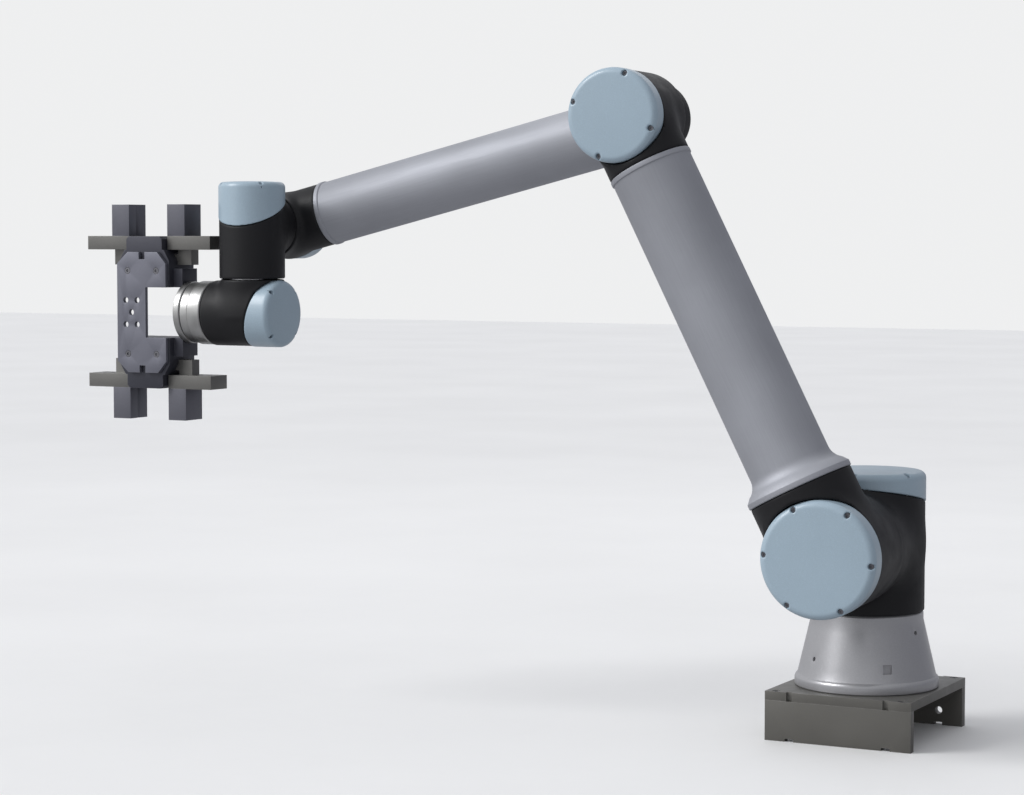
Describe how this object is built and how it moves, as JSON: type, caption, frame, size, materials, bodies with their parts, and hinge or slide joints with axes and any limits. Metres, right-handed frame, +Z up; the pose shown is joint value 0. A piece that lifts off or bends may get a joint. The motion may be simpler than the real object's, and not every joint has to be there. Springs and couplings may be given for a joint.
{
  "type": "collaborative robot arm",
  "caption": "Jointed robot arm on a plate riser: round black joints with blue-grey lids, silver tubes and a back-to-back double gripper.",
  "frame": {"origin": "centre of the riser's underside, on the axis of the base joint", "axes": "+Z up along the base joint's axis, the arm reaches to -X, the lids of the shoulder and elbow face -Y"},
  "size_m": [1.1728, 0.3993, 0.8726],
  "materials": {
    "riser_steel": "satin grey-brown paint on laser-cut plate",
    "zinc_screws": "zinc-plated socket screws",
    "base_casting": "light grey cast aluminium, satin",
    "black_plastic": "moulded black plastic",
    "joint_steel": "ground bearing steel",
    "motor_metal": "laminated steel with copper windings",
    "seal_rubber": "black lip seal",
    "black_housing": "black powder coat on cast aluminium",
    "blue_lid": "moulded light blue-grey plastic",
    "silver_tube": "satin silver anodised tube",
    "flange_metal": "turned bright aluminium",
    "gripper_metal": "grey-violet hard-anodised aluminium",
    "jaw_metal": "dark grey hard-anodised aluminium",
    "finger_metal": "grey-violet hard-anodised aluminium"
  },
  "bodies": {
    "riser_and_base": {"riser_top_plate": "riser_steel", "riser_side_plates": "riser_steel", "riser_screws": "zinc_screws", "base_bolts": "zinc_screws", "base_casting": "base_casting", "base_cable_gland": "black_plastic", "base_joint_output": "joint_steel", "base_joint_seal": "seal_rubber"},
    "shoulder_link": {"shoulder_housing": "black_housing", "base_joint_gear": "joint_steel", "base_joint_motor": "motor_metal", "shoulder_cap": "blue_lid", "shoulder_cap_screws": "zinc_screws", "shoulder_joint_output": "joint_steel", "shoulder_joint_seal": "seal_rubber"},
    "upper_arm": {"upper_arm_shoulder_housing": "black_housing", "upper_arm_tube": "silver_tube", "upper_arm_elbow_housing": "black_housing", "shoulder_joint_gear": "joint_steel", "shoulder_joint_motor": "motor_metal", "elbow_joint_gear": "joint_steel", "elbow_joint_motor": "motor_metal", "upper_arm_shoulder_cap": "blue_lid", "upper_arm_elbow_cap": "blue_lid", "upper_arm_cap_screws": "zinc_screws"},
    "forearm": {"forearm_elbow_housing": "black_housing", "forearm_tube": "silver_tube", "forearm_wrist_housing": "black_housing", "elbow_joint_output": "joint_steel", "wrist_1_joint_gear": "joint_steel", "wrist_1_joint_motor": "motor_metal", "forearm_cap": "blue_lid", "forearm_cap_screws": "zinc_screws"},
    "wrist_1": {"wrist_1_housing": "black_housing", "wrist_1_joint_output": "joint_steel", "wrist_2_joint_gear": "joint_steel", "wrist_2_joint_motor": "motor_metal", "wrist_1_cap": "blue_lid", "wrist_1_cap_screws": "zinc_screws"},
    "wrist_2": {"wrist_2_housing": "black_housing", "wrist_2_joint_output": "joint_steel", "wrist_3_joint_gear": "joint_steel", "wrist_3_joint_motor": "motor_metal", "wrist_2_cap": "blue_lid", "wrist_2_cap_screws": "zinc_screws"},
    "tool": {"tool_flange": "flange_metal", "flange_adapter": "flange_metal", "tool_screws": "zinc_screws", "gripper_bracket": "gripper_metal", "upper_gripper_body": "gripper_metal", "lower_gripper_body": "gripper_metal", "gripper_air_ports": "black_plastic"},
    "upper_right_slide": {"upper_right_jaw": "jaw_metal", "upper_right_finger": "finger_metal"},
    "upper_left_slide": {"upper_left_jaw": "jaw_metal", "upper_left_finger": "finger_metal"},
    "lower_right_slide": {"lower_right_jaw": "jaw_metal", "lower_right_finger": "finger_metal"},
    "lower_left_slide": {"lower_left_jaw": "jaw_metal", "lower_left_finger": "finger_metal"}
  },
  "joints": [
    {"name": "base_turn", "type": "hinge", "parent": "riser_and_base", "child": "shoulder_link", "pos_m": [0, 0, 0.166], "axis": [0, 0, 1], "range_deg": [-360, 360]},
    {"name": "shoulder_turn", "type": "hinge", "parent": "shoulder_link", "child": "upper_arm", "pos_m": [0.00872, -0.09962, 0.257], "axis": [0.0872, -0.9962, 0], "range_deg": [-135, 80]},
    {"name": "elbow_turn", "type": "hinge", "parent": "upper_arm", "child": "forearm", "pos_m": [-0.26565, -0.13768, 0.81186], "axis": [0.0872, -0.9962, 0], "range_deg": [-150, 50]},
    {"name": "wrist_1_turn", "type": "hinge", "parent": "forearm", "child": "wrist_1", "pos_m": [-0.81361, -0.18963, 0.67156], "axis": [0.0872, -0.9962, 0], "range_deg": [-360, 360]},
    {"name": "wrist_2_turn", "type": "hinge", "parent": "wrist_1", "child": "wrist_2", "pos_m": [-0.80925, -0.23944, 0.59956], "axis": [0, 0, 1], "range_deg": [-7, 180]},
    {"name": "wrist_3_turn", "type": "hinge", "parent": "wrist_2", "child": "tool", "pos_m": [-0.86725, -0.23944, 0.55156], "axis": [-1, 0, 0], "range_deg": [-360, 360]},
    {"name": "upper_grip", "type": "slide", "parent": "tool", "child": "upper_right_slide", "axis": [1, 0, 0], "range_m": [0, 0.008]},
    {"name": "upper_grip_mate", "type": "slide", "parent": "tool", "child": "upper_left_slide", "axis": [-1, 0, 0], "range_m": [0, 0.008]},
    {"name": "lower_grip", "type": "slide", "parent": "tool", "child": "lower_right_slide", "axis": [1, 0, 0], "range_m": [0, 0.008]},
    {"name": "lower_grip_mate", "type": "slide", "parent": "tool", "child": "lower_left_slide", "axis": [-1, 0, 0], "range_m": [0, 0.008]}
  ],
  "couplings": [
    {"joint": "upper_grip_mate", "follows": "upper_grip", "ratio": 1},
    {"joint": "lower_grip_mate", "follows": "lower_grip", "ratio": 1}
  ]
}
